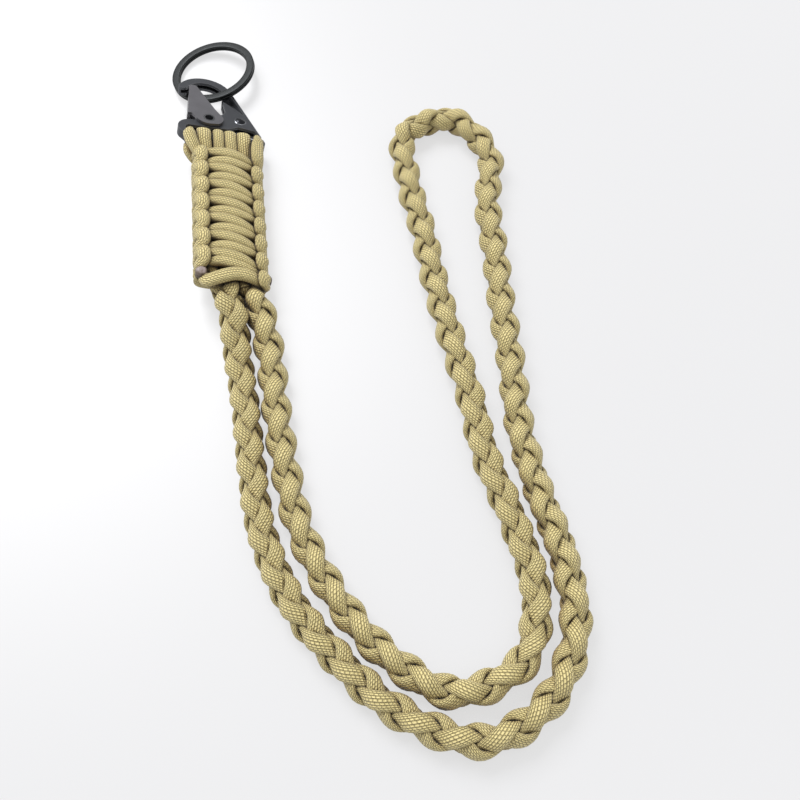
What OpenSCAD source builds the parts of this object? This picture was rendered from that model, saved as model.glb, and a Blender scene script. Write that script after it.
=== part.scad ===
// Paracord lanyard: a woven grip between a sprung snap hook with a key ring and a braided neck loop.
// Millimetres. +Z is up and the lanyard lies on Z = 0. +Y runs along the grip towards the hook.
// The origin is under the middle of the hook, key ring and grip.

/* [Cord] */
// Width of a cord of the core, across the grip
core_w = 4; // [3.6:0.1:4]
// Thickness of every cord
cord_t = 2.6; // [2.2:0.1:2.6]
// Width of the weaving cord where it crosses the grip
weave_w = 3.2; // [2.6:0.1:3.2]
// Diameter of the braided neck loop
braid_d = 8.4; // [7.6:0.1:8.4]

/* [Grip] */
// Number of beads on the left edge of the grip
beads = 7; // [5:1:8]
// Distance from one bead to the next
bead_pitch = 6.6; // [6.6:0.1:7]
// Distance from the hook's bar to the first bead
bead_start = 8; // [7.6:0.1:8.4]
// How far the grip leans onto its right edge, in degrees
lean = 18; // [14:1:20]
// Height of the middle of the hook's bar above the table
bar_z = 8.3; // [8.3:0.1:10]

/* [Snap hook] */
// How far the hook's nose dips towards the table, in degrees
hook_dip = 12; // [8:1:12]
// Thickness of the hook's steel sheet
sheet_t = 0.9; // [0.8:0.1:1]
// Depth of the hook's folded body
body_depth = 3; // [2.8:0.1:3]
// Gap between the body and the gate folded over it
gate_gap = 0.15; // [0.1:0.05:0.2]
// Length of the slot that the cords pass through
slot_l = 25; // [24.8:0.1:25.2]
// Outer radius of the crook
crook_r = 9.2; // [9:0.1:9.4]
// Width of the crook's band
crook_band = 2.8; // [2.4:0.1:3]
// Outer radius of the hollow pivot rivet
pivot_r = 1.9; // [1.7:0.1:2]

/* [Key ring] */
// Outside diameter of the key ring
ring_od = 29; // [28:0.5:30]
// Width of the ring's flat wire
ring_w = 2.6; // [2.2:0.1:2.8]
// Thickness of both turns of the ring together
ring_t = 1.9; // [1.6:0.1:1.9]

/* [Hidden] */

$fn = 32;
sheath = "#a8965c";
charred = "#4a3a2c";
steel = "#3a3c40";

// The middle of the hook's bar in plan, which sets where the whole lanyard lies over the origin.
bar_xy = [2.6, 3.9];

// Grip: its own axes are u across, v along and n out of its front face, with the bar at v = 0.
level_gap = bead_pitch / 2;
levels = 2 * beads;
core_end = -58.8 - (beads - 7) * bead_pitch;
core_spacing = core_w + 0.1;
core_drift = 2.1;
core_straight = -49;
inner_core_n = 1.6;
outer_core_n = 1.35;
wrap_r = 2.3 + cord_t / 2;
crossing_u = 6.6;
weave_shift = 0.35;
crossing_n = inner_core_n + cord_t + 0.2;
shoulder_n = 3.6;
edge_u = 9.6;
left_pass_u = 10.4;
right_pass_u = 9.9;
bead_u = 7.7;
bead_n = 4.8;
bead_w = 4.8;
bend_n = 3;
leg_w = 1.8;
leg_shift = 0.9;
bend_w = 2.8;
bend_shift = 0.4;
last_gap = 4.3;
full_skew = 1.9;
last_skew = 0.3;
tip_rise = 2.4;
melt_r = 1.9;
braid_u = braid_d / 2 + 0.15;

// Sides of a swept cord, and points put between two of its route's points.
core_sides = 10;
weave_sides = 8;
braid_sides = 10;
weave_steps = 2;
braid_steps = 2;

// Route of the neck loop, from the grip's left exit round to its right exit.
loop_route = [
    [3, -62, 8], [3.6, -75, 5], [5, -91, 4.4], [6, -110, 4.25], [7.9, -129, 4.2], [14.3, -148, 4.2],
    [25.4, -164.6, 4.2], [39.2, -179, 4.2], [58, -187.6, 4.2], [75, -180.6, 4.2], [85, -164.7, 4.2],
    [86, -145, 4.2], [82.7, -125, 4.2], [81, -106, 4.2], [82, -86, 4.2], [82.5, -66, 4.2], [83.6, -46, 4.2],
    [84.2, -27, 4.2], [87.8, -7, 4.2], [78, 9, 4.2], [61.5, 4.3, 4.2], [60.3, -15, 4.2], [62.4, -35, 4.2],
    [63.7, -55, 4.2], [65.8, -74, 4.2], [68.5, -94, 4.2], [70.2, -114, 4.2], [74.5, -133, 4.2],
    [77, -153, 4.2], [71, -170, 4.2], [53, -175.7, 4.2], [37.3, -164.7, 4.2], [26, -148.5, 4.2],
    [18.3, -130, 4.2], [15.2, -111, 4.25], [13.6, -91, 4.4], [12.9, -75, 4.5], [11, -62, 5.8]
];

// Snap hook: u across, v from the bar towards the nose, n out of the front plate.
half_depth = body_depth / 2;
crook_c = [-5.2, 24.2];
nose_c = [-12.6, 27.4];
nose_r = 1.35;
tip_c = [11.1, 0.3];
tip_r = 1.9;
foot_c = [-10.9, 4.3];
foot_r = 4;
pivot = [-4.8, 9.2];
tongue_r = 3.2;
spine_angle = atan2(tip_c.x - crook_c.x, crook_c.y - tip_c.y)
    - asin((crook_r - tip_r) / norm(crook_c - tip_c));
spine_l = 28;
rivet_at = [5.6, 10.9];
bar_h = 3.2;
corner_r = 1.8;
slot_top = 5.4;
slot_rise = 2;
gate_in = half_depth + gate_gap;
gate_out = gate_in + sheet_t;
gate_fold = 1;
gate_back_top = 16;
gate_fold_top = 22.5;
running_fit = 0.06;
rivet_wall = 0.5;
coil_r = 2.5;
wire_r = 0.2;
coil_pitch = 2 * wire_r + 0.04;

// Key ring: its middle, and how it leans.
ring_at = [-1, 41.2, 3.25];
ring_lean = [-4, -8, 0];
ring_turn = 250;
ring_split = 0.1;
ring_join = 16;
ring_end_gap = 4;

// ---- Sweeps ----

function unit(a) = a / norm(a);
function clamp_at(list, i) = list[max(0, min(len(list) - 1, i))];

// One point of a Catmull-Rom curve between b and c.
function between(a, b, c, d, t) = 0.5 * (2 * b + (c - a) * t + (2 * a - 5 * b + 4 * c - d) * t * t
    + (3 * b - a - 3 * c + d) * t * t * t);

// The route with steps pieces between each two of its points.
function smooth(route, steps) = [
    for (i = [0 : len(route) - 2], s = [0 : steps - 1])
        between(clamp_at(route, i - 1), route[i], route[i + 1], clamp_at(route, i + 2), s / steps),
    route[len(route) - 1]
];

// A cord along points [x, y, z, width], thick along the direction that out() gives at each point.
module cord(points, outs, thick, sides) {
    n = len(points);
    rings = [
        for (i = [0 : n - 1])
            let (
                here = [points[i].x, points[i].y, points[i].z],
                ahead = clamp_at(points, i + 1),
                behind = clamp_at(points, i - 1),
                along = unit([ahead.x - behind.x, ahead.y - behind.y, ahead.z - behind.z]),
                up = unit(outs[i] - (outs[i] * along) * along),
                side = cross(along, up)
            )
            for (k = [0 : sides - 1])
                let (a = 90 + 360 * k / sides)
                here + side * (points[i][3] / 2 * cos(a)) + up * (thick / 2 * sin(a))
    ];
    faces = [
        for (i = [0 : n - 2], k = [0 : sides - 1])
            let (
                a = i * sides + k,
                b = i * sides + (k + 1) % sides
            )
            each [[a, b, b + sides], [a, b + sides, a + sides]],
        [for (k = [sides - 1 : -1 : 0]) k],
        [for (k = [0 : sides - 1]) (n - 1) * sides + k]
    ];
    polyhedron(rings, faces, convexity = 10);
}

// ---- Places ----

module in_grip() {
    translate([bar_xy.x, bar_xy.y, bar_z]) rotate([0, lean, 0]) children();
}

module in_hook() {
    in_grip() rotate([-hook_dip, 0, 0]) children();
}

// A point of the grip in the row's own axes.
function from_grip(p) = [
    bar_xy.x + p.x * cos(lean) + p.z * sin(lean),
    bar_xy.y + p.y,
    bar_z - p.x * sin(lean) + p.z * cos(lean)
];

// ---- Cords ----

// A core cord comes up the front of the grip, goes round the bar and down the back. Its two ends lie a little
// further right than the rest.
module core_cord(place) {
    u = (place - 2.5) * core_spacing;
    n = abs(place - 2.5) < 1 ? inner_core_n : outer_core_n;
    leg = [[u + core_drift, core_end, n, core_w], [u, core_straight, n, core_w], [u, -20, n, core_w],
        [u, -9, n, core_w], [u, -5, n + 0.6, core_w], [u, -2, wrap_r - 0.25, core_w]];
    wrap = [for (a = [0 : 30 : 180]) [u, wrap_r * sin(a), wrap_r * cos(a), core_w]];
    back = [for (i = [len(leg) - 1 : -1 : 0]) [u, leg[i].y, -leg[i].z, core_w]];
    points = concat(leg, wrap, back);
    color(sheath) in_grip()
        cord(points, [for (p = points) p.y > -3 ? [0, p.y + 0.01, p.z] : [0, 0, p.z]], cord_t, core_sides);
}

module core_cord_1() core_cord(1);
module core_cord_2() core_cord(2);
module core_cord_3() core_cord(3);
module core_cord_4() core_cord(4);

// Height along the grip of crossing k; the last one, which locks the weave, stands a little apart.
function level_v(k) = -bead_start - level_gap * (k - 0.5) - (k > levels ? last_gap - level_gap : 0);

// How much lower crossing k is at the right edge than at the middle. The last front one is nearly square.
function skew(k, face) = k > levels && face > 0 ? last_skew : min(full_skew, 0.7 + 0.3 * k);

function across(k, face, u) = level_v(k) - skew(k, face) * u / edge_u;

// Which edge crossing k of a strand ends at: -1 left, 1 right. The two strands always run opposite ways.
function end_side(k, face) = (k % 2 == 1 ? 1 : -1) * face;

// Crossing k of the strand that crosses on the face with sign face.
function crossing(k, face) =
    let (s = end_side(k, face))
    [for (u = [-s * crossing_u, 0, s * crossing_u])
        [u, across(k, face, u), face * (u == 0 ? crossing_n : shoulder_n), weave_w]];

// The bead that the same strand then makes over the other face, on its way to crossing k + 1.
function bead(k, face) =
    let (
        s = end_side(k, face),
        v = across(k, face, s * edge_u),
        w = across(k + 1, face, s * edge_u)
    )
    [[s * edge_u, v - leg_shift, 0, leg_w], [s * edge_u, v - bend_shift, -face * bend_n, bend_w],
        [s * bead_u, (v + w) / 2, -face * bead_n, bead_w],
        [s * edge_u, w + bend_shift, -face * bend_n, bend_w], [s * edge_u, w + leg_shift, 0, leg_w]];

// The strand's way round the bar, from the middle of the back to the front of the grip's edge.
function over_bar(face) =
    let (u = face > 0 ? -left_pass_u : right_pass_u)
    [[0, -7.4, -crossing_n, weave_w], [u * 0.7, -7, -shoulder_n - 0.5, weave_w],
        [u, -3.6, -wrap_r + 0.2, weave_w],
        for (a = [180 : -30 : 0]) [u, wrap_r * sin(a), wrap_r * cos(a), weave_w]];

// The front strand tucks under the first bead; the back strand makes a long bead down the right edge first.
function start(face) =
    concat(over_bar(face), face > 0
        ? [[-edge_u, -4.2, 3.2, bend_w], [-edge_u + 0.6, -7, 2.8, leg_w]]
        : [[edge_u, -4, 4, bend_w], [edge_u, level_v(1) + 1, bend_n, bend_w],
            [edge_u, across(1, face, edge_u) + leg_shift, 0, leg_w]]);

// After the last crossing the strand ends in its melted tip at the grip's edge; the front one turns up there.
function tip(face) =
    let (
        s = end_side(levels + 1, face),
        v = across(levels + 1, face, s * edge_u),
        back_up = face > 0 ? tip_rise : 0
    )
    [[s * edge_u, v + back_up / 3, face * 1.2, leg_w], [s * edge_u, v + back_up + 0.3, -face, leg_w]];

function strand(face) = concat(start(face),
    [for (k = [1 : levels + 1]) each concat(crossing(k, face), k <= levels ? bead(k, face) : tip(face))]);

// Straight out of the grip's rounded section.
function grip_out(p) = [p.x / 4, p.y > -3 ? p.y + 0.01 : 0, p.z];

module weave(face) {
    points = smooth(strand(face), weave_steps);
    color(sheath) in_grip() translate([weave_shift, 0, 0])
        cord(points, [for (p = points) grip_out(p)], cord_t - 0.1, weave_sides);
}

module weave_front_cord() weave(1);
module weave_back_cord() weave(-1);

module melted_end(face, out) {
    p = tip(face)[1];
    color(charred) in_grip() translate([p.x + weave_shift, p.y, p.z] + out) sphere(melt_r);
}

module melted_end_left() melted_end(-1, [0.8, 0.9, 1.8]);
module melted_end_right() melted_end(1, [0.7, 0.6, 0.8]);

module neck_loop() {
    left_exit = from_grip([core_drift - braid_u, core_end - 0.5, 0]);
    right_exit = from_grip([core_drift + braid_u, core_end - 0.5, 0]);
    route = smooth(concat([left_exit], loop_route, [right_exit]), braid_steps);
    points = [for (p = route) [p.x, p.y, p.z, braid_d]];
    color(sheath) cord(points, [for (p = points) [0, 0, 1]], braid_d, braid_sides);
}

// ---- Snap hook ----

function turned(c, r, from, to, steps = 8) =
    [for (i = [0 : steps]) let (a = from + (to - from) * i / steps) c + r * [cos(a), sin(a)]];

// The whole hook in plan: round foot at the left, straight spine at the right, crook over the top.
module hook_outline() polygon(concat(
    turned(tip_c, tip_r, -90, spine_angle, 6),
    turned(crook_c, crook_r, spine_angle, 152, 12),
    turned(nose_c, nose_r, 160, 320, 6),
    turned(crook_c, crook_r - crook_band, 160, 20, 12),
    [[0.2, 21], [0.9, 15.2]],
    turned([-1, 14.8], 1.7, 10, -80, 5),
    turned(pivot, tongue_r, 60, 190, 6),
    turned(foot_c, foot_r, 85, 225, 14),
    turned([foot_c.x, corner_r - bar_h / 2], corner_r, 180, 270, 5)
));

module slot() polygon(concat(
    turned([-slot_l / 2 + 1.4, bar_h / 2 + 1.4], 1.4, 180, 270, 4),
    turned([slot_l / 2 - 1, bar_h / 2 + 1], 1, -90, 0, 3),
    turned([slot_l / 2 - 3, slot_top - 0.2], 1.2, 20, 90, 4),
    turned([5, slot_top + slot_rise - 1.6], 1.6, 70, 130, 3),
    [[1, slot_top]],
    turned([-slot_l / 2 + 1.2, slot_top - 1.2], 1.2, 90, 180, 4)
));

// What the front plate covers: foot, pivot and lower spine, up to its sloping upper edge.
module front_plate_area() polygon([[-16, -4], [14, -4], [10, 11.2], [5.7, 16.2], [0.5, 21], [-0.9, 14],
    [-2, 12.6], [-7.6, 12.6], [-9.4, 9.4], [-16, 9.4]]);

// The bend of the crook with its nose, down to where the straight spine starts.
module crook_area() intersection() {
    hook_outline();
    translate(crook_c) rotate(spine_angle) translate([-20, 0]) square([40, 20]);
}

module crook_web_area() difference() {
    crook_area();
    circle_at(crook_c, crook_r - sheet_t);
}

module spine_web_area() intersection() {
    hook_outline();
    translate(tip_c) rotate(spine_angle) translate([tip_r - sheet_t, 0]) square([3, spine_l]);
}

module circle_at(c, r) {
    translate(c) circle(r);
}

module plate_bores() {
    circle_at(pivot, pivot_r);
    circle_at(rivet_at, 1.3);
}

module sheet(from, thick) {
    translate([0, 0, from]) linear_extrude(thick) children();
}

module hook_body() {
    color(steel) in_hook() {
        difference() {
            union() {
                sheet(-half_depth, sheet_t) hook_outline();
                sheet(half_depth - sheet_t, sheet_t) intersection() {
                    hook_outline();
                    front_plate_area();
                }
                sheet(half_depth - sheet_t, sheet_t) crook_area();
                sheet(-half_depth, body_depth) {
                    spine_web_area();
                    crook_web_area();
                    foot_web_area();
                }
            }
            translate([0, 0, -half_depth - 1]) linear_extrude(body_depth + 2) {
                slot();
                plate_bores();
            }
        }
    }
}

// The bar below the slot is closed to a box, and so is the foot's round end.
module foot_web_area() intersection() {
    hook_outline();
    union() {
        translate([-15, -bar_h / 2]) square([30, bar_h]);
        difference() {
            translate([-16, 0]) square([16 + foot_c.x, 10]);
            circle_at(foot_c, foot_r - sheet_t);
        }
    }
}

module gate_outline() polygon(concat(
    turned([-9.7, 25.9], 0.95, 180, 90, 3),
    turned([-8.9, 25.9], 0.95, 90, 20, 3),
    [[-6.2, 22], [-2.6, 14.2]],
    turned([-3.8, 9.3], 3.6, 45, -60, 6),
    turned([-4.8, 10.6], 4.75, -75, -165, 6),
    [[-10.4, 10.7], [-11.6, 10.7]]
));

// Up to which height the gate's fold and its short back plate go.
module gate_below(top) intersection() {
    gate_outline();
    translate([-20, 0]) square([30, top]);
}

module gate_fold_area(top) intersection() {
    gate_below(top);
    polygon([[-14, 12.4], [-11.6 + gate_fold, 12.4], [-10.8 + gate_fold, 28], [-14, 28]]);
}

module gate() {
    color(steel) in_hook() difference() {
        union() {
            sheet(gate_in, sheet_t) gate_outline();
            sheet(-half_depth, half_depth + gate_in) gate_fold_area(gate_fold_top);
            sheet(-gate_out, gate_out) gate_fold_area(gate_back_top);
            sheet(-gate_out, sheet_t) gate_below(gate_back_top);
        }
        translate([pivot.x, pivot.y, -gate_out - 1])
            cylinder(h = 2 * gate_out + 2, r = pivot_r + running_fit);
    }
}

module gate_rivet() {
    color(steel) in_hook() translate([pivot.x, pivot.y, -gate_out]) difference() {
        cylinder(h = 2 * gate_out, r = pivot_r);
        translate([0, 0, -1]) cylinder(h = 2 * gate_out + 2, r = pivot_r - rivet_wall);
    }
}

// A coil of two turns round the pivot, with one leg on the gate and one on the foot.
module gate_spring() {
    turns = [for (a = [-100 : 30 : 500]) [pivot.x + coil_r * cos(a), pivot.y + coil_r * sin(a),
        coil_pitch * (a - 200) / 360, 2 * wire_r]];
    first = turns[0];
    last = turns[len(turns) - 1];
    points = concat([[-9.2, first.y + 0.2, first.z, 2 * wire_r]], turns, [[-9.9, 17, last.z, 2 * wire_r]]);
    color("silver") in_hook() cord(points, [for (p = points) [0, 0, 1]], 2 * wire_r, 8);
}

module body_rivet() {
    color(steel) in_hook() translate([rivet_at.x, rivet_at.y, 0]) {
        translate([0, 0, -half_depth - 0.4]) cylinder(h = body_depth + 0.4, r = 1.3);
        translate([0, 0, -half_depth - 0.4]) cylinder(h = 0.4, r = 2);
        intersection() {
            translate([0, 0, half_depth - 2.2]) sphere(2.9);
            translate([0, 0, half_depth]) cylinder(h = 1, r = 2);
        }
    }
}

// ---- Key ring ----

// A piece of the ring's own section, or of a cut through it, from one height to another.
module ring_piece(from, angle, low, high, past = 0) {
    rotate([0, 0, from]) rotate_extrude(angle = angle)
        translate([ring_od / 2 - ring_w - past, low]) square([ring_w + 2 * past, high - low]);
}

// Two turns of flat wire, parted by a thin gap but for the stretch where the wire steps between them.
module key_ring() {
    color(steel) translate(ring_at) rotate(ring_lean) rotate([0, 0, ring_turn]) difference() {
        ring_piece(0, 360, -ring_t / 2, ring_t / 2);
        ring_piece(0, 360 - ring_join, -ring_split / 2, ring_split / 2, 1);
        ring_piece(0, ring_end_gap, -ring_split / 2, ring_t, 1);
        ring_piece(360 - ring_join - ring_end_gap, ring_end_gap, -ring_t, ring_split / 2, 1);
    }
}

core_cord_1();
core_cord_2();
core_cord_3();
core_cord_4();
weave_front_cord();
weave_back_cord();
melted_end_left();
melted_end_right();
neck_loop();
hook_body();
gate();
gate_rivet();
gate_spring();
body_rivet();
key_ring();
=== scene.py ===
"""A paracord lanyard: woven grip, sprung snap hook, split key ring and braided neck loop."""

import math

import bpy
from mathutils import Matrix, Vector, noise


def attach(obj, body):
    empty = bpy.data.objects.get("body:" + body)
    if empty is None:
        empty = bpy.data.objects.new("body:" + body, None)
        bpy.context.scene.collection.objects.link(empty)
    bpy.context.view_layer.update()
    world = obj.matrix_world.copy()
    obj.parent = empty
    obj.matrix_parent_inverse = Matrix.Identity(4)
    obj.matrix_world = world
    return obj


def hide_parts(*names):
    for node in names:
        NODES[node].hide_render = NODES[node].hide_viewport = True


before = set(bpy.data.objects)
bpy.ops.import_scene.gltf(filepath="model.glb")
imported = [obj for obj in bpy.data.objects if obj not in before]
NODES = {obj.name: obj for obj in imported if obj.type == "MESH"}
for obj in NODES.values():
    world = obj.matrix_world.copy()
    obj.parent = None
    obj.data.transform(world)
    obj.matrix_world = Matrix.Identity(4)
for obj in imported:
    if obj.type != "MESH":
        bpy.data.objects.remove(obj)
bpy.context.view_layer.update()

MM = 0.001


def mm(*values):
    return Vector(values) * MM


def rgb(r, g, b):
    return (r, g, b, 1.0)


# ---- Places, as the CAD model has them. Lengths below are in millimetres ----

# The middle of the hook's bar, and the grip's own frame there, with u across, v along and n out of its front.
BAR = mm(2.6, 3.9, 8.3)
LEAN = math.radians(18)
GRIP = Matrix.Translation(BAR) @ Matrix.Rotation(LEAN, 4, "Y")

# The core cords: size, spacing, the places along the grip that they pass straight, their lower ends, how
# those gather and drift sideways, and how far the inner and the outer cords lie from the grip's middle.
CORD_T = 2.6
CORE_W = 4.0
CORE_SPACING = 4.1
CORE_STATIONS = (-49, -40, -20, -10)
CORE_END = -58.8
CORE_END_W = CORE_W - 0.4
CORE_GATHER = 0.91
CORE_DRIFT = 2.1
INNER_CORE_N = 1.6
OUTER_CORE_N = 1.35

# The way of a cord round the hook's bar: its height and depth, its drop, and how square its corners are.
WRAP_V = 3.0
WRAP_N = 3.1
WRAP_DROP = 0.85
WRAP_SQUARE = 0.8
WRAP_STEPS = 12

# The neck loop: where its ends leave the grip, and its diameter.
BRAID_U = 4.35
LOOP_START = -56.0

# Route of the neck loop from the left exit to the right one: x, y, z and the roll of the plait in degrees.
LOOP_ROUTE = [
    (3.0, -62, 8, 46), (3.6, -75, 5, 46), (5, -91, 4.4, 46), (6, -110, 4.25, 46), (7.9, -129, 4.2, 46),
    (14.3, -148, 4.2, 50), (25.4, -164.6, 4.2, 62), (39.2, -179, 4.2, 75), (58, -187.6, 4.2, 90),
    (75, -180.6, 4.2, 88), (85, -164.7, 4.2, 80), (86, -145, 4.2, 60), (82.7, -125, 4.2, 45),
    (81, -106, 4.2, 30), (82, -86, 4.2, 20), (82.5, -66, 4.2, 5), (83.6, -46, 4.2, 5), (84.2, -27, 4.2, 5),
    (87.8, -7, 4.2, 30), (78, 9, 4.2, 70), (61.5, 4.3, 4.2, 75), (60.3, -15, 4.2, 90), (62.4, -35, 4.2, 90),
    (63.7, -55, 4.2, 90), (65.8, -74, 4.2, 85), (68.5, -94, 4.2, 60), (70.2, -114, 4.2, 50),
    (74.5, -133, 4.2, 48), (77, -153, 4.2, 30), (71, -170, 4.2, 0), (53, -175.7, 4.2, 0),
    (37.3, -164.7, 4.2, 0), (26, -148.5, 4.2, 0), (18.3, -130, 4.2, 0), (15.2, -111, 4.25, 0),
    (13.6, -91, 4.4, 0), (12.9, -75, 4.5, 0), (11, -62, 5.8, 0),
]

# The plait: length of one turn of a strand, where it starts, its radius and the radius's swing, and how
# unevenly it turns.
PLAIT_TURN = 20.91
PLAIT_PHASE = 4.1
PLAIT_R = 2.15
PLAIT_SWING = 1.05
PLAIT_SLOW = 0.5
# A strand: its width and thickness, how the plait turns into two pairs of cords over BLEND_IN and loosens
# over LOOSE_END near the grip, and the lowest that a strand lies over the table.
STRAND_W = 4.8
STRAND_T = 2.5
BLEND_IN = 6.0
LOOSE_END = 40.0
LOOSENESS = 0.13
LEG_ACROSS = BRAID_U / 2 - 0.1
TABLE_GAP = 0.05

# One stitch of a cord's woven sheath along the cord, and the number of stitches round it.
STITCH = 0.86
STITCHES_ROUND = 21

# How square a cord's flattened section is, where 2 is an ellipse, and the sides that it is drawn with.
CORD_SQUARE = 2.2
CORD_SIDES = 18
WEAVE_SQUARE = 2.5
WEAVE_SIDES = 20


# ---- Camera ----

CAMERA_LENS = 43
CAMERA_SENSOR = 36
CAMERA_FROM_BAR = mm(31.9, -222.1, 236.3)
CAMERA_TILT = 27.5
CAMERA_PAN = -6.5


def add_camera():
    data = bpy.data.cameras.new("camera")
    data.lens = CAMERA_LENS
    data.sensor_width = CAMERA_SENSOR
    data.clip_start = 10 * MM
    camera = bpy.data.objects.new("camera", data)
    camera.location = BAR + CAMERA_FROM_BAR
    camera.rotation_euler = (math.radians(CAMERA_TILT), 0, math.radians(CAMERA_PAN))
    bpy.context.collection.objects.link(camera)
    bpy.context.scene.camera = camera


# ---- Curves and sweeps ----

def clamp_at(points, i):
    return points[max(0, min(len(points) - 1, i))]


def catmull_rom(p, q, r, w, t):
    """The value at t, from 0 at q to 1 at r, on the curve through p, q, r and w."""
    line = 2 * q + (r - p) * t
    bend = (2 * p - 5 * q + 4 * r - w) * t * t
    twist = (3 * q - p - 3 * r + w) * t ** 3
    return 0.5 * (line + bend + twist)


def smooth(points, steps):
    """A smooth curve through tuples of any length, with steps pieces to each span."""
    out = []
    for i in range(len(points) - 1):
        a, b, c, d = (clamp_at(points, i + k) for k in (-1, 0, 1, 2))
        for s in range(steps):
            out.append([catmull_rom(*values, s / steps) for values in zip(a, b, c, d)])
    out.append(list(points[-1]))
    return out


def lengths(points):
    """The length of the line from its start to each of its points."""
    total = [0.0]
    for a, b in zip(points, points[1:]):
        total.append(total[-1] + (Vector(b[:3]) - Vector(a[:3])).length)
    return total


def spaced(points, gap):
    """The same line through points that lie about gap apart, carrying every other value along."""
    shortest = 1e-12
    along = lengths(points)
    count = max(2, round(along[-1] / gap) + 1)
    out = []
    i = 0
    for k in range(count):
        want = along[-1] * k / (count - 1)
        while i < len(points) - 2 and along[i + 1] < want:
            i += 1
        span = max(along[i + 1] - along[i], shortest)
        t = min(1.0, max(0.0, (want - along[i]) / span))
        out.append([p + (q - p) * t for p, q in zip(points[i], points[i + 1])])
    return out


def ease(t):
    """A soft step from 0 to 1."""
    t = min(1.0, max(0.0, t))
    return t * t * (3 - 2 * t)


def rounded(value, power):
    """The value brought nearer to 1 or -1 by a power under 1, with its sign kept."""
    return math.copysign(abs(value) ** power, value)


def add_object(mesh, material):
    """A smooth object for the mesh, under the mesh's name."""
    mesh.validate()
    for polygon in mesh.polygons:
        polygon.use_smooth = True
    mesh.materials.append(material)
    obj = bpy.data.objects.new(mesh.name, mesh)
    bpy.context.collection.objects.link(obj)
    return obj


class Pile:
    """Vertices, faces and sheath coordinates of several swept strands, for one mesh."""

    def __init__(self):
        self.verts = []
        self.faces = []
        self.uvs = []

    def sweep(self, points, outs, widths, thick, sides, square, shift=0.0):
        """A closed strand along points, thick along outs; shift moves its stitches along it."""
        first = len(self.verts)
        along = lengths(points)
        n = len(points)
        for i, p in enumerate(points):
            here = Vector(p)
            tangent = (Vector(clamp_at(points, i + 1)) - Vector(clamp_at(points, i - 1))).normalized()
            up = Vector(outs[i])
            up = (up - up.dot(tangent) * tangent).normalized()
            side = tangent.cross(up)
            for k in range(sides):
                a = 2 * math.pi * k / sides
                x = rounded(math.cos(a), 2 / square)
                y = rounded(math.sin(a), 2 / square)
                self.verts.append(here + side * (widths[i] / 2 * x) + up * (thick / 2 * y))
        for i in range(n - 1):
            s, t = along[i] / STITCH + shift, along[i + 1] / STITCH + shift
            for k in range(sides):
                a, b = first + i * sides + k, first + i * sides + (k + 1) % sides
                u, v = STITCHES_ROUND * k / sides, STITCHES_ROUND * (k + 1) / sides
                self.faces.append((a, b, b + sides, a + sides))
                self.uvs += [(s, u), (s, v), (t, v), (t, u)]
        for ring, order in ((0, -1), (n - 1, 1)):
            start = first + ring * sides
            face = list(range(start, start + sides))[::order]
            self.faces.append(tuple(face))
            self.uvs += [(0.0, 0.0)] * sides

    def build(self, name, material, place=Matrix.Identity(4)):
        mesh = bpy.data.meshes.new(name)
        mesh.from_pydata([place @ (v * MM) for v in self.verts], [], self.faces)
        layer = mesh.uv_layers.new(name="sheath")
        for loop, uv in zip(layer.data, self.uvs):
            loop.uv = uv
        return add_object(mesh, material)


# ---- Materials ----

class Nodes:
    """A material's node tree, built with short calls."""

    def __init__(self, name):
        self.material = bpy.data.materials.new(name)
        self.material.use_nodes = True
        self.tree = self.material.node_tree
        self.shader = self.tree.nodes["Principled BSDF"]

    def add(self, kind, **values):
        node = self.tree.nodes.new(kind)
        for key, value in values.items():
            setattr(node, key, value)
        return node

    def link(self, source, target):
        self.tree.links.new(source, target)

    def put(self, target, value):
        if isinstance(value, bpy.types.NodeSocket):
            self.link(value, target)
        else:
            target.default_value = value

    def math(self, operation, a, b=0.0, clamp=False):
        node = self.add("ShaderNodeMath", operation=operation, use_clamp=clamp)
        self.put(node.inputs[0], a)
        self.put(node.inputs[1], b)
        return node.outputs[0]

    def plus(self, a, b):
        return self.math("ADD", a, b)

    def times(self, a, b, clamp=False):
        return self.math("MULTIPLY", a, b, clamp)

    def hump(self, value):
        """From 0 at each whole value up to 1 halfway to the next."""
        return self.math("ABSOLUTE", self.math("SINE", self.times(value, math.pi)))

    def split(self, vector):
        node = self.add("ShaderNodeSeparateXYZ")
        self.link(vector, node.inputs[0])
        return node.outputs

    def mix(self, factor, a, b, blend="MIX"):
        node = self.add("ShaderNodeMix", data_type="RGBA", blend_type=blend)
        self.put(node.inputs["Factor"], factor)
        self.put(node.inputs[6], a)
        self.put(node.inputs[7], b)
        return node.outputs[2]

    def ramp(self, value, *stops):
        node = self.add("ShaderNodeValToRGB")
        self.link(value, node.inputs[0])
        elements = node.color_ramp.elements
        while len(elements) < len(stops):
            elements.new(0.5)
        for element, (place, colour) in zip(elements, stops):
            element.position = place
            element.color = colour
        return node.outputs["Color"]

    def noise(self, scale, detail, roughness):
        node = self.add("ShaderNodeTexNoise")
        node.inputs["Scale"].default_value = scale
        node.inputs["Detail"].default_value = detail
        node.inputs["Roughness"].default_value = roughness
        vector = self.add("ShaderNodeTexCoord").outputs["Object"]
        self.link(vector, node.inputs["Vector"])
        return node.outputs["Fac"]

    def openness(self, reach):
        """From 0 in a hollow to 1 in the open, for hollows no wider than about reach."""
        node = self.add("ShaderNodeAmbientOcclusion", samples=4)
        node.inputs["Distance"].default_value = reach * MM
        return node.outputs["AO"]

    def bump(self, height, strength, distance):
        node = self.add("ShaderNodeBump")
        node.inputs["Strength"].default_value = strength
        node.inputs["Distance"].default_value = distance * MM
        self.link(height, node.inputs["Height"])
        return node.outputs["Normal"]

    def shade(self, **values):
        for key, value in values.items():
            self.put(self.shader.inputs[key.replace("_", " ")], value)


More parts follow.
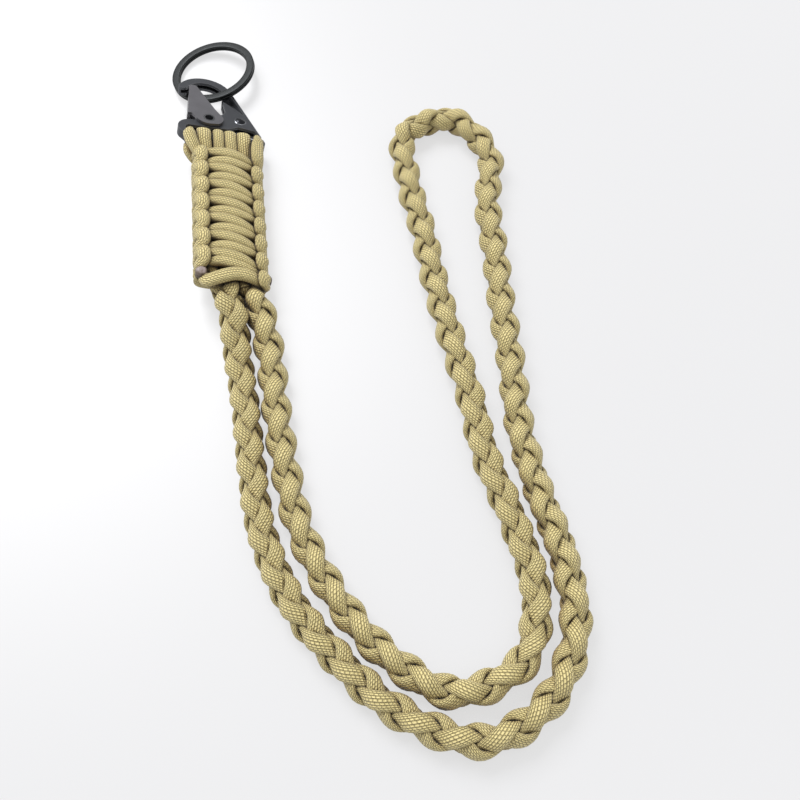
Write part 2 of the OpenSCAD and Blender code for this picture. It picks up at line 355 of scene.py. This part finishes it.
# The sheath's thread with its painted highlight where it stands up, its painted shade where it dips, and its
# paler patches.
STITCH_PAINTED_HIGHLIGHT = rgb(0.79, 0.665, 0.298)
STITCH_PAINTED_SHADE = rgb(0.115, 0.08, 0.018)
THREAD_PALE = rgb(0.72, 0.62, 0.33)
# The painted shade deep between cords, the painted shade over the wider valleys, and how far each reaches.
HOLLOW_PAINTED_SHADE = rgb(0.022, 0.015, 0.004)
HOLLOW_SHADE_PART = 0.92
HOLLOW_REACH = 2.4
VALLEY_PAINTED_SHADE = rgb(0.5, 0.37, 0.22)
VALLEY_REACH = 6
# How stitches step from one rib to the next and slant across it, and how full their two outlines are.
STITCH_STEP = 0.5
STITCH_SLANT = 0.2
RIB_POWER = 0.55
STITCH_POWER = 0.33


def sheath_material(name):
    """Woven nylon sheath: staggered stitches along the cord, with painted highlight on them and painted shade
    between them and between cords.
    """
    m = Nodes(name)
    along, around, _ = m.split(m.add("ShaderNodeUVMap", uv_map="sheath").outputs[0])
    step = m.times(m.math("FLOOR", around), STITCH_STEP)
    slant = m.times(m.math("FRACT", around), STITCH_SLANT)
    place = m.plus(m.plus(along, step), slant)
    rib = m.math("POWER", m.hump(around), RIB_POWER)
    stitch = m.times(rib, m.math("POWER", m.hump(place), STITCH_POWER))
    grain = m.noise(2600, 2, 0.6)
    patches = m.noise(190, 3, 0.55)
    raised = m.plus(stitch, m.times(m.math("SUBTRACT", grain, 0.5), 0.9))
    # Painted highlight on the stitches' tops and painted shade in the dips between them.
    threads = m.ramp(raised, (0.1, STITCH_PAINTED_SHADE), (0.95, STITCH_PAINTED_HIGHLIGHT))
    faded = m.mix(m.times(patches, 0.25), threads, THREAD_PALE)
    # Painted shade in the hollows and the wider valleys between cords, from how closed in each place is.
    deep = m.mix(HOLLOW_SHADE_PART, faded, HOLLOW_PAINTED_SHADE)
    hollow = m.ramp(m.openness(HOLLOW_REACH), (0.3, rgb(0, 0, 0)), (0.72, rgb(1, 1, 1)))
    valley = m.ramp(m.openness(VALLEY_REACH), (0.3, VALLEY_PAINTED_SHADE), (0.85, rgb(1, 1, 1)))
    colour = m.mix(1.0, m.mix(hollow, deep, faded), valley, "MULTIPLY")
    height = m.plus(stitch, m.times(grain, 0.3))
    m.shade(Base_Color=colour, Roughness=0.52, Normal=m.bump(height, 1.0, 0.3))
    m.shade(Sheen_Weight=0.12, Sheen_Roughness=0.4, Specular_IOR_Level=0.5)
    return m.material


# Black finishes: tone, colour of the worn edges with their painted highlight, how strong that is, and
# roughness.
BLACK_STEELS = {
    "black_oxide": ((0.083, 0.087, 0.097), (0.3, 0.3, 0.3), 0.55, 0.4),
    # The gate's tone is lighter than the body's as painted reflection.
    "black_oxide_gate_painted_reflection": ((0.17, 0.167, 0.181), (0.3, 0.29, 0.29), 0.3, 0.42),
    "black_rivet": ((0.02, 0.021, 0.026), (0.5, 0.52, 0.56), 0.9, 0.22),
    "black_ring": ((0.016, 0.018, 0.019), (0.12, 0.125, 0.125), 0.4, 0.36),
}
WORN_AND_LIT_EDGE = 0.35
EDGE_CONTRAST = 5.0


def black_steel_material(name):
    """Black oxide on steel: fine grain, faint blotches, and grey along the edges that is partly wear and
    partly painted highlight.
    """
    tone, worn_and_lit, wear_and_highlight, rough = BLACK_STEELS[name]
    m = Nodes(name)
    grain = m.noise(3200, 2, 0.6)
    blotches = m.noise(240, 4, 0.6)
    bevel = m.add("ShaderNodeBevel", samples=4)
    bevel.inputs["Radius"].default_value = WORN_AND_LIT_EDGE * MM
    geometry = m.add("ShaderNodeNewGeometry")
    dot = m.add("ShaderNodeVectorMath", operation="DOT_PRODUCT")
    m.link(bevel.outputs[0], dot.inputs[0])
    m.link(geometry.outputs["Normal"], dot.inputs[1])
    edge = m.times(m.math("SUBTRACT", 1.0, dot.outputs["Value"]), EDGE_CONTRAST, clamp=True)
    # Grey along the edges: partly wear, partly painted highlight.
    rubbed_and_lit = m.times(edge, m.times(m.plus(blotches, 0.25), wear_and_highlight), clamp=True)
    dim, bright = (rgb(*(part * t for t in tone)) for part in (0.75, 1.3))
    base = m.mix(m.times(blotches, 0.5), dim, bright)
    roughness = m.plus(rough - 0.08, m.times(m.plus(grain, blotches), 0.1))
    m.shade(Base_Color=m.mix(rubbed_and_lit, base, rgb(*worn_and_lit)), Roughness=roughness)
    m.shade(Metallic=0.75, Specular_IOR_Level=0.5, Normal=m.bump(grain, 0.25, 0.05))
    return m.material


MELTED_RIM = rgb(0.05, 0.03, 0.018)
MELTED_SIDE = rgb(0.2, 0.15, 0.12)
MELTED_TOP = rgb(0.36, 0.3, 0.3)
MELTED_STAIN = rgb(0.12, 0.085, 0.05)


def melted_material(name):
    """Nylon that melted and set hard: dark brown on its faces that turn down, paler and greyer on those that
    turn up.
    """
    m = Nodes(name)
    lumps = m.noise(700, 4, 0.6)
    fine = m.noise(2500, 3, 0.6)
    upward = m.split(m.add("ShaderNodeTexCoord").outputs["Normal"])[2]
    top = m.plus(upward, m.times(m.math("SUBTRACT", lumps, 0.5), 0.8))
    colour = m.ramp(top, (0.35, MELTED_RIM), (0.72, MELTED_SIDE), (1.0, MELTED_TOP))
    m.shade(Base_Color=m.mix(m.times(fine, 0.3), colour, MELTED_STAIN))
    m.shade(Roughness=m.plus(0.28, m.times(fine, 0.25)), Normal=m.bump(lumps, 0.4, 0.2))
    return m.material


WIRE_DARK = rgb(0.28, 0.28, 0.29)
WIRE_LIGHT = rgb(0.5, 0.5, 0.5)


def wire_material(name):
    """Drawn spring wire, grey with fine scratches."""
    m = Nodes(name)
    scratches = m.noise(3000, 3, 0.7)
    m.shade(Base_Color=m.mix(scratches, WIRE_DARK, WIRE_LIGHT), Metallic=0.95)
    m.shade(Roughness=m.plus(0.25, m.times(scratches, 0.2)))
    return m.material


# ---- Neck loop ----

LOOP_GAP = 0.8
LOOP_STEPS = 12
# How far the strands' stitches are shifted, in stitches, so that neighbours don't line up.
WAY_SHIFT = 0.5
WHICH_SHIFT = 0.37
# The corner of the square of four cords, as (u, n), that each strand (way, which) comes out at.
STRAND_CORNERS = {(1, 0): (1, 1), (1, 1): (-1, -1), (-1, 0): (1, -1), (-1, 1): (-1, 1)}


def from_grip(u, v, n):
    """A place in the grip's frame as x, y and z in millimetres."""
    return (GRIP @ mm(u, v, n)) / MM


def gathered(u):
    """Where a core cord that runs at u comes out of the grip's end."""
    return CORE_GATHER * u + CORE_DRIFT


def loop_line():
    """The neck loop's centreline with the plait's roll, from the left exit to the right one."""
    left = (*from_grip(gathered(-BRAID_U), LOOP_START, 0), LOOP_ROUTE[0][3])
    right = (*from_grip(gathered(BRAID_U), LOOP_START, 0), LOOP_ROUTE[-1][3])
    return spaced(smooth([left, *LOOP_ROUTE, right], LOOP_STEPS), LOOP_GAP)


def add_loop_strand(pile, line, way, which):
    """One of the plait's four strands; way is the sense in which it turns round the centreline."""
    along = lengths(line)
    turn = 2 * math.pi / PLAIT_TURN
    corner_u, corner_n = STRAND_CORNERS[way, which]
    points, outs, widths = [], [], []
    for i, (x, y, z, roll) in enumerate(line):
        here = Vector((x, y, z))
        tangent = Vector(clamp_at(line, i + 1)[:3]) - Vector(clamp_at(line, i - 1)[:3])
        side = tangent.cross(Vector((0, 0, 1))).normalized()
        up = side.cross(tangent).normalized()
        s = along[i] + PLAIT_PHASE
        slow = PLAIT_SLOW / 2 * math.sin(2 * turn * s)
        angle = way * turn * s - slow + which * math.pi + math.radians(roll)
        from_end = min(along[i], along[-1] - along[i])
        loose = 1 + LOOSENESS * (1 - ease(from_end / LOOSE_END))
        radius = (PLAIT_R + way * PLAIT_SWING * math.cos(2 * turn * s)) * loose
        plaited = side * (radius * math.cos(angle)) + up * (radius * math.sin(angle))
        leg = side * (corner_u * LEG_ACROSS) + up * (corner_n * INNER_CORE_N)
        t = ease(from_end / BLEND_IN)
        points.append(here + leg.lerp(plaited, t))
        outs.append((side * math.cos(angle) + up * math.sin(angle)) * t + up * ((1 - t) * corner_n))
        widths.append(CORE_W + (STRAND_W * loose - CORE_W) * t)
    shift = WHICH_SHIFT * which + WAY_SHIFT * way
    pile.sweep(points, outs, widths, STRAND_T, CORD_SIDES, CORD_SQUARE, shift)


def add_neck_loop(material):
    line = loop_line()
    pile = Pile()
    for way, which in STRAND_CORNERS:
        add_loop_strand(pile, line, way, which)
    pile.verts = [Vector((v.x, v.y, max(v.z, TABLE_GAP))) for v in pile.verts]
    loop = pile.build("neck_loop_braid", material)
    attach(loop, "cords")
    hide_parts("neck_loop")


# ---- Grip ----

# The weave has LEVELS crossings on each face, and then a last one that locks it.
FIRST_LEVEL = 8.0
LEVEL_GAP = 3.3
LEVELS = 14
LAST_GAP = 2.8
WEAVE_SHIFT = 0.35
WEAVE_GAP = 0.42
WEAVE_STEPS = 8

# A crossing: half its width, the parts of it that its points lie at, its arch, how it falls from side to side
# from the first level down, the last one's rise on the left, how its ends lean, how soon its height, width
# and lean give way from the middle out, and how crossings vary.
CROSSING_U = 7.0
CROSSING_PARTS = (-1, -0.55, 0, 0.5, 1)
ARCH = 0.7
FIRST_SKEW, SKEW_STEP, FULL_SKEW = 0.7, 0.3, 1.9
LAST_SKEW = {1: 0.3, -1: 0.5}
LAST_RISE = 1.6
PAIR_SHIFT = 0.55
PAIR_POWER, HEIGHT_POWER, WIDTH_POWER = 1.5, 2.2, 1.6
ODD_LIFT = 0.15
UNEVEN_V = 0.22

# Height out of the grip and width of the weaving cord in mid crossing, at its shoulders, over a bead,
# in the bends before and after it, and in the leg that runs through the grip's edge.
CROSSING_N, CROSSING_W = 4.5, 3.9
SHOULDER_N, SHOULDER_W = 2.9, 2.7
BEAD_N, BEAD_W = 4.7, 4.3
BEND_N, BEND_W = 2.9, 4.2
LEG_W = 3.1

# A bead: where it lies across the grip, on the left and the right, and how its cord bends round the edge.
EDGE_U = 9.6
BEAD_U = 8.6
RIGHT_BEAD_U = BEAD_U + 0.1
RIGHT_BEAD_W = BEAD_W - 0.2
LAST_RIGHT_BEAD_U = BEAD_U + 0.5
LEG_SHIFT = 0.2
BEND_SHIFT = 0.5
BEND_IN = 0.1
BEAD_BEND_N = BEND_N - 0.4
BEAD_RIM_N = BEAD_N - 0.6
BEAD_RIM_OUT = 0.2
CROWN_PART = 0.35
UNEVEN_BEAD = 0.06
# The last bead, by the face of the crossing before it: how far its start and its end move up, and how far
# its end moves in and its tail tucks up.
LAST_BEAD = {1: (3.2, 3.4, 1.1, 0), -1: (0, -1.5, 0, 1.2)}

# The last crossing, as (u, v, n, width): in front a fuller cord that lies over the core's end, and at the
# back a crossing like the others that is only moved up, lowered and narrowed.
LOCKING_CROSSING = [
    (-7.9, -57.0, 3.0, 4.0), (-4.8, -56.8, 4.7, 4.3), (0.3, -55.2, 5.1, 4.4), (5.0, -55.4, 4.5, 4.2),
    (8.4, -56.2, 2.4, 3.6),
]
BACK_LOCK_UP, BACK_LOCK_N, BACK_LOCK_W = 0.9, 0.76, 0.87

# Where each pass over the hook's bar lies across the grip, and its width there.
CORE_PASSES = {1: (-7.1, 4.7), 2: (-2.5, 3.7), 3: (1.3, 4.1), 4: (5.6, 4.7)}
# The weaving cords' passes have the drop of their tops as well, and widen a little to the front.
WEAVE_PASSES = {1: (-11.4, 3.8, 3.0), -1: (9.4, 3.7, 2.8)}
PASS_SPREAD = 0.07


def uneven(a, b=0.0, c=0.0):
    """A steady irregularity that differs from place to place."""
    return noise.noise(Vector((a, b, c)))


def level_v(k):
    """Where the middle of crossing k lies along the grip."""
    return -FIRST_LEVEL - LEVEL_GAP * (k - 0.5) - (LAST_GAP - LEVEL_GAP if k > LEVELS else 0)


def skew(k, face):
    """How much lower crossing k lies at the right edge than in its middle."""
    return LAST_SKEW[face] if k > LEVELS else min(FULL_SKEW, FIRST_SKEW + SKEW_STEP * k)


def across(k, face, u):
    return level_v(k) - skew(k, face) * u / EDGE_U


def end_side(k, face):
    """The side that crossing k ends on: 1 is right and -1 is left."""
    return (1 if k % 2 else -1) * face


def paired(k, side, face):
    """How far the end of crossing k leans towards its partner's, which goes in between the same two beads."""
    down = (k % 2 == 1) == (side * face > 0)
    return -PAIR_SHIFT if down else PAIR_SHIFT


def crossing(k, face):
    """A crossing as (u, v, n, width), an arch from one edge of the grip to the other."""
    if k > LEVELS and face > 0:
        return LOCKING_CROSSING
    s = end_side(k, face)
    rows = []
    for part in CROSSING_PARTS:
        u = s * part * CROSSING_U
        edge = paired(k, 1 if u > 0 else -1, face) * abs(part) ** PAIR_POWER
        arch = ARCH * (1 - part * part)
        jitter = UNEVEN_V * uneven(3.1 * k, 2.3 * part, 5 * face)
        high = SHOULDER_N + (CROSSING_N - SHOULDER_N) * (1 - abs(part) ** HEIGHT_POWER)
        width = SHOULDER_W + (CROSSING_W - SHOULDER_W) * (1 - abs(part) ** WIDTH_POWER)
        rise = LAST_RISE * (1 - u / CROSSING_U) / 2 if k == LEVELS and face > 0 else 0
        v = across(k, face, u) + edge + arch + jitter + rise
        if k > LEVELS:
            v, high, width = v + BACK_LOCK_UP, high * BACK_LOCK_N, width * BACK_LOCK_W
        rows.append((u, v, face * (high + ODD_LIFT * (k % 2)), width))
    return rows


def bead(k, face):
    """The bead that the strand makes over the other face between crossings k and k + 1."""
    s = end_side(k, face)
    start_up, end_up, inset, tuck = LAST_BEAD[face] if k == LEVELS else (0, 0, 0, 0)
    v = across(k, face, s * EDGE_U) + start_up
    w = across(k + 1, face, s * EDGE_U) + end_up
    middle, half = (v + w) / 2, (v - w) / 2
    crown = CROWN_PART * half
    edge = EDGE_U - inset
    u, flat = BEAD_U, BEAD_W
    if s > 0:
        u, flat = LAST_RIGHT_BEAD_U if k == LEVELS else RIGHT_BEAD_U, RIGHT_BEAD_W
    size = 1 + UNEVEN_BEAD * uneven(2.7 * k, 7.1 * face)
    return [
        (s * EDGE_U, v + LEG_SHIFT, 0, LEG_W),
        (s * (EDGE_U - BEND_IN), v + BEND_SHIFT, -face * BEAD_BEND_N, BEND_W),
        (s * (u + BEAD_RIM_OUT), middle + half, -face * BEAD_RIM_N, flat),
        (s * u, middle + crown, -face * BEAD_N * size, flat * size),
        (s * u, middle - crown, -face * BEAD_N * size, flat * size),
        (s * (u + BEAD_RIM_OUT), middle - half, -face * BEAD_RIM_N, flat),
        (s * (edge - BEND_IN), w - BEND_SHIFT + tuck, -face * BEAD_BEND_N, BEND_W),
        (s * edge, w - LEG_SHIFT + 1.5 * tuck, 0, LEG_W),
    ]


def around_bar():
    """The way round the hook's bar, from the back to the front, as (v, n)."""
    out = []
    for i in range(WRAP_STEPS + 1):
        a = math.pi * (1 - i / WRAP_STEPS)
        v = WRAP_V * math.sin(a) ** WRAP_SQUARE - WRAP_DROP
        out.append((v, WRAP_N * rounded(math.cos(a), WRAP_SQUARE)))
    return out


def over_bar(face):
    """A weaving cord's start at the back of the grip and its pass over the bar."""
    u, width, drop = WEAVE_PASSES[face]
    rows = [(0, -7.4, -CROSSING_N, 3.2), (u * 0.7, -7, -SHOULDER_N - 0.5, 3.2), (u, -3.6, 0.2 - WRAP_N, 3.4)]
    for v, n in around_bar():
        spread = 1 + PASS_SPREAD * max(0, n) / WRAP_N
        rows.append((u * spread, v - drop * max(0, v) / WRAP_V, n, width))
    return rows


def strand_start(face):
    """From the back over the bar and down the front to where the first crossing begins."""
    if face > 0:
        down = [(-12.0, -1.6, 3.3, 4.2), (-11.0, -4.6, 3.1, 3.9), (0.6 - EDGE_U, -8, 2.4, LEG_W)]
    else:
        down = [
            (EDGE_U, -2.5, 4.2, 4.1), (EDGE_U - 0.5, -6, 4.7, 4.3), (EDGE_U - 0.5, -9.5, 4.6, 4.2),
            (EDGE_U, level_v(1) - 1.6, BEND_N, BEND_W), (EDGE_U, across(1, face, EDGE_U) - 0.9, 0, LEG_W),
        ]
    return over_bar(face) + down


def strand_tip(face):
    """The weaving cord's last points, after the crossing that locks the weave."""
    if face > 0:
        return [(9.9, -55.8, 0.8, 3.0), (10.5, -54.3, -0.4, 2.8)]
    s = end_side(LEVELS + 1, face)
    v = across(LEVELS + 1, face, s * EDGE_U)
    return [(s * EDGE_U, v, face * 1.2, 2.4), (s * EDGE_U, v + 0.3, -face, 2.4)]


def weave_strand(face):
    """The whole weaving cord whose first crossing lies on the face: 1 is the front and -1 the back."""
    rows = strand_start(face)
    for k in range(1, LEVELS + 2):
        rows += crossing(k, face)
        rows += bead(k, face) if k <= LEVELS else strand_tip(face)
    return spaced(smooth(rows, WEAVE_STEPS), WEAVE_GAP)


def outward(u, v, n):
    """The way a weaving cord's flat side faces: away from the core, and also upwards over the bar."""
    return (u / 4, v + 0.01 if v > -WRAP_V else 0, n)


def add_weave(name, face, material):
    rows = weave_strand(face)
    points = [(u + WEAVE_SHIFT, v, n) for u, v, n, w in rows]
    outs = [outward(*row[:3]) for row in rows]
    pile = Pile()
    pile.sweep(points, outs, [row[3] for row in rows], CORD_T, WEAVE_SIDES, WEAVE_SQUARE)
    obj = pile.build(name + "_strand", material, GRIP)
    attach(obj, "cords")
    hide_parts(name)


# The core cords' places from left to right, and how far each one's stitches are shifted from the last one's.
CORE_PLACES = (1, 2, 3, 4)
CORE_MIDDLE = 2.5
CORE_GAP = 0.5
CORE_STEPS = 6
CORE_SHIFT = 0.3


def core_strand(place):
    """A core cord as (u, v, n, width): up the front, round the hook's bar and down the back."""
    u = (place - CORE_MIDDLE) * CORE_SPACING
    n = INNER_CORE_N if abs(place - CORE_MIDDLE) < 1 else OUTER_CORE_N
    pass_u, pass_w = CORE_PASSES[place]
    leg = [(gathered(u), CORE_END + 1, n, CORE_END_W)] + [(u, v, n, CORE_W) for v in CORE_STATIONS]
    leg += [((u + pass_u) / 2, -6, n + 0.7, pass_w), (pass_u, -2.4, WRAP_N - 0.05, pass_w)]
    wrap = [(pass_u, v, -h, pass_w) for v, h in around_bar()]
    back = [(a, v, -h, w) for a, v, h, w in reversed(leg)]
    return spaced(smooth(leg + wrap + back, CORE_STEPS), CORE_GAP)


def add_core(place, material):
    rows = core_strand(place)
    outs = [(0, v + 0.01 if v > -WRAP_V else 0, h) for a, v, h, w in rows]
    widths = [row[3] for row in rows]
    pile = Pile()
    pile.sweep([row[:3] for row in rows], outs, widths, CORD_T, CORD_SIDES, CORD_SQUARE, CORE_SHIFT * place)
    name = f"core_cord_{place}"
    obj = pile.build(name + "_strand", material, GRIP)
    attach(obj, "cords")
    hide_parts(name)


# The melted ends in the grip's frame: middle, radii and a seed for the folds.
MELTED_ENDS = {
    "melted_end_left": ((-8.75, -54.2, 2.9), (1.9, 1.9, 1.7), 1.3),
    "melted_end_right": ((10.9, -53.4, 0.4), (1.7, 2.1, 1.7), 4.1),
}
LUMP_RINGS = 20
LUMP_SIDES = 32
LUMP_TOP = 0.8
# How much its folds swell a melted end, and how close together they lie: broad ones and fine ones.
FOLDS = ((0.09, 1.6), (0.05, 4))


def lumpy(direction, seed):
    """How far a melted end swells or sinks in a direction, as a part of its radius there."""
    swollen = 1
    for row, (swell, closeness) in enumerate(FOLDS):
        swollen += swell * noise.noise(direction * closeness + Vector((seed, 3 * row, 0)))
    return swollen


def add_melted_end(name, material):
    """A blob of melted cord: a rounded lump with folds and a flattened top."""
    middle, radii, seed = MELTED_ENDS[name]
    verts, faces = [], []
    for i in range(LUMP_RINGS + 1):
        a = math.pi * i / LUMP_RINGS
        for k in range(LUMP_SIDES):
            b = 2 * math.pi * k / LUMP_SIDES
            p = Vector((math.sin(a) * math.cos(b), math.sin(a) * math.sin(b), min(math.cos(a), LUMP_TOP)))
            lump = lumpy(p, seed)
            verts.append(GRIP @ mm(*(m + r * q * lump for m, r, q in zip(middle, radii, p))))
    for i in range(LUMP_RINGS):
        for k in range(LUMP_SIDES):
            a, b = i * LUMP_SIDES + k, i * LUMP_SIDES + (k + 1) % LUMP_SIDES
            faces.append((a, a + LUMP_SIDES, b + LUMP_SIDES, b))
    mesh = bpy.data.meshes.new(name + "_lump")
    mesh.from_pydata(verts, [], faces)
    obj = add_object(mesh, material)
    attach(obj, "cords")
    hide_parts(name)


# ---- Snap hook and key ring ----

# The split ring: place and lean in degrees, size, the gap between its turns, and the join in degrees.
RING_AT = (-1, 41.2, 3.25)
RING_LEAN = (-4, -8)
RING_TURN = 250
RING_OD = 29.0
RING_W = 2.6
RING_T = 1.9
RING_SPLIT = 0.1
RING_JOIN = 16
RING_END = 4
RING_STEP = 2
RING_SIDES = 24
RING_SQUARE = 5.0

# The hook's parts, each with its finish and the radius of its rounded edges.
STEEL_PARTS = {
    "hook_body": ("black_oxide", 0.14), "gate": ("black_oxide_gate_painted_reflection", 0.14),
    "gate_rivet": ("black_oxide", 0.1), "body_rivet": ("black_rivet", 0.1),
}
EDGE_SEGMENTS = 3
EDGE_ANGLE = 35


def add_key_ring(material):
    """Two turns of flat wire; the wire steps from the lower turn to the upper one over the join."""
    thick = (RING_T - RING_SPLIT) / 2
    height = (RING_T + RING_SPLIT) / 4
    radius = (RING_OD - RING_W) / 2
    rows = []
    first, last = 360 - RING_JOIN - RING_END, RING_END - 360
    for degrees in range(first, last - 1, -RING_STEP):
        a = math.radians(degrees)
        rise = height * (2 * ease(-degrees / RING_JOIN) - 1)
        rows.append((radius * math.cos(a), radius * math.sin(a), rise))
    pile = Pile()
    pile.sweep(rows, [(0, 0, 1)] * len(rows), [RING_W] * len(rows), thick, RING_SIDES, RING_SQUARE)
    lean_x, lean_y = (math.radians(a) for a in RING_LEAN)
    lean = Matrix.Rotation(lean_y, 4, "Y") @ Matrix.Rotation(lean_x, 4, "X")
    turn = Matrix.Rotation(math.radians(RING_TURN), 4, "Z")
    ring = pile.build("key_ring_coil", material, Matrix.Translation(mm(*RING_AT)) @ lean @ turn)
    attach(ring, "key_ring")
    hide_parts("key_ring")


def finish_node(name, material):
    """A kept CAD node gets its finish."""
    materials = NODES[name].data.materials
    materials.clear()
    materials.append(material)


def round_edges(name, radius):
    """A kept CAD node gets finely rounded edges."""
    bevel = NODES[name].modifiers.new("rounded_edges", "BEVEL")
    bevel.width = radius * MM
    bevel.segments = EDGE_SEGMENTS
    bevel.limit_method = "ANGLE"
    bevel.angle_limit = math.radians(EDGE_ANGLE)
    bevel.harden_normals = True


# ---- Studio ----

WORLD_LIGHT = 0.58
LIGHTS_AIM = mm(30, -60, 0)
# Soft lights: place, size in metres and power in watts.
LIGHTS = {
    "window": (mm(-500, 900, 1300), (1.1, 0.9), 28),
    "fill": (mm(900, -600, 1400), (1.6, 1.6), 4.8),
}
TABLE_HALF = 3000
TABLE_TONES = (rgb(0.15, 0.15, 0.16), rgb(0.158, 0.158, 0.168))
TABLE_GLOW = 0.645


def add_area(name, location, size, energy):
    data = bpy.data.lights.new(name, "AREA")
    data.shape = "RECTANGLE"
    data.size, data.size_y = size
    data.energy = energy
    lamp = bpy.data.objects.new(name, data)
    lamp.location = location
    lamp.rotation_euler = (LIGHTS_AIM - location).to_track_quat("-Z", "Y").to_euler()
    bpy.context.collection.objects.link(lamp)


def table_material(name):
    m = Nodes(name)
    haze = m.noise(6, 2, 0.5)
    m.shade(Base_Color=m.mix(haze, *TABLE_TONES), Roughness=0.35, Specular_IOR_Level=0.4)
    m.shade(Emission_Color=rgb(1, 1, 1), Emission_Strength=TABLE_GLOW)
    return m.material


def add_table():
    mesh = bpy.data.meshes.new("table")
    corners = [mm(x * TABLE_HALF, y * TABLE_HALF, 0) for x, y in ((-1, -1), (1, -1), (1, 1), (-1, 1))]
    mesh.from_pydata(corners, [], [(0, 1, 2, 3)])
    mesh.materials.append(table_material("white_table"))
    table = bpy.data.objects.new("table", mesh)
    bpy.context.collection.objects.link(table)


def add_studio():
    world = bpy.data.worlds.new("studio")
    world.use_nodes = True
    background = world.node_tree.nodes["Background"]
    background.inputs["Color"].default_value = rgb(1, 1, 1)
    background.inputs["Strength"].default_value = WORLD_LIGHT
    bpy.context.scene.world = world
    bpy.context.scene.view_settings.view_transform = "Standard"
    for name, values in LIGHTS.items():
        add_area(name, *values)
    add_table()


# ---- Main ----

add_camera()

sheath = sheath_material("paracord_sheath")
add_neck_loop(sheath)
for place in CORE_PLACES:
    add_core(place, sheath)
add_weave("weave_front_cord", 1, sheath)
add_weave("weave_back_cord", -1, sheath)

melted = melted_material("melted_nylon")
for name in MELTED_ENDS:
    add_melted_end(name, melted)

steels = {name: black_steel_material(name) for name in BLACK_STEELS}
for name, (finish, radius) in STEEL_PARTS.items():
    finish_node(name, steels[finish])
    round_edges(name, radius)
finish_node("gate_spring", wire_material("spring_wire"))
add_key_ring(steels["black_ring"])
add_studio()
